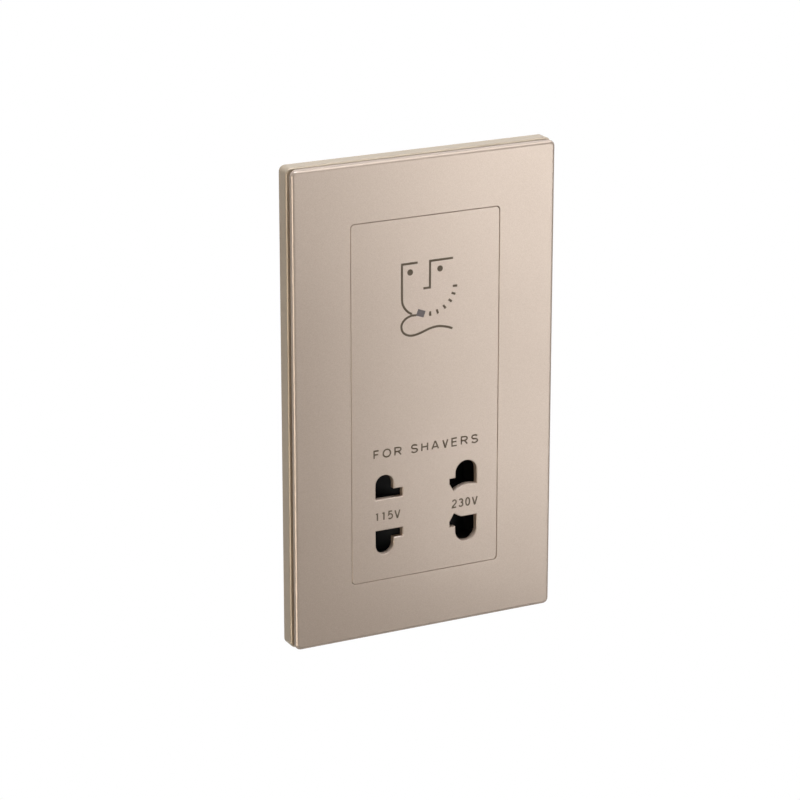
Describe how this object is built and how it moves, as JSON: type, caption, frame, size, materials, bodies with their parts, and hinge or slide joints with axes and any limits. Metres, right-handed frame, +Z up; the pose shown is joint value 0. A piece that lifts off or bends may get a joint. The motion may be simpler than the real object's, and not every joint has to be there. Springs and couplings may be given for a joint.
{
  "type": "shaver socket",
  "caption": "Flush two-voltage shaver socket on a tall satin metal wall plate, with four shuttered plug apertures and an isolating transformer in its rear housing.",
  "frame": {"origin": "on the wall face, halfway between the two fixing holes", "axes": "+Z up, +X to the right seen from the front, +Y into the wall; the plate faces -Y"},
  "size_m": [0.086, 0.0468, 0.146],
  "materials": {
    "cover_metal": "satin champagne",
    "insert_finish": "satin champagne metallic",
    "base_plastic": "satin taupe",
    "frame_plastic": "matt",
    "shutter_plastic": "satin",
    "carrier_plastic": "matt",
    "spring_steel": "bright",
    "screw_steel": "zinc plated",
    "contact_bronze": "bright",
    "core_steel": "varnished",
    "bobbin_plastic": "natural",
    "winding_copper": "enamelled copper",
    "housing_plastic": "fine textured",
    "terminal_plastic": "natural",
    "terminal_brass": "bright",
    "lead_brown": "insulated",
    "lead_blue": "insulated",
    "lead_black": "insulated",
    "lead_yellow": "insulated",
    "lead_red": "insulated"
  },
  "bodies": {
    "socket": {"front_plate": "cover_metal", "clip_frame": "frame_plastic", "base_frame": "base_plastic", "face_insert": "insert_finish", "spring_left": "spring_steel", "spring_right": "spring_steel", "contact_carrier": "carrier_plastic", "contact_retainer": "carrier_plastic", "carrier_screws": "screw_steel", "contact_common": "contact_bronze", "contact_115": "contact_bronze", "contact_230": "contact_bronze", "core_e": "core_steel", "core_i": "core_steel", "core_screws": "screw_steel", "bobbin": "bobbin_plastic", "primary_winding": "winding_copper", "secondary_winding": "winding_copper", "thermal_cutout": "bobbin_plastic", "rear_housing": "housing_plastic", "housing_screws": "screw_steel", "terminal_block": "terminal_plastic", "terminal_clamps": "terminal_brass", "terminal_screws": "screw_steel", "lead_live": "lead_brown", "lead_neutral": "lead_blue", "lead_common": "lead_black", "lead_115": "lead_yellow", "lead_230": "lead_red"},
    "shutter": {"shutter_slide": "shutter_plastic"}
  },
  "joints": [
    {"name": "shutter_travel", "type": "slide", "parent": "socket", "child": "shutter", "axis": [1, 0, 0], "range_m": [-0.0085, 0.0085], "stiffness_N_per_m": 80, "deforming": ["spring_left", "spring_right"]}
  ]
}
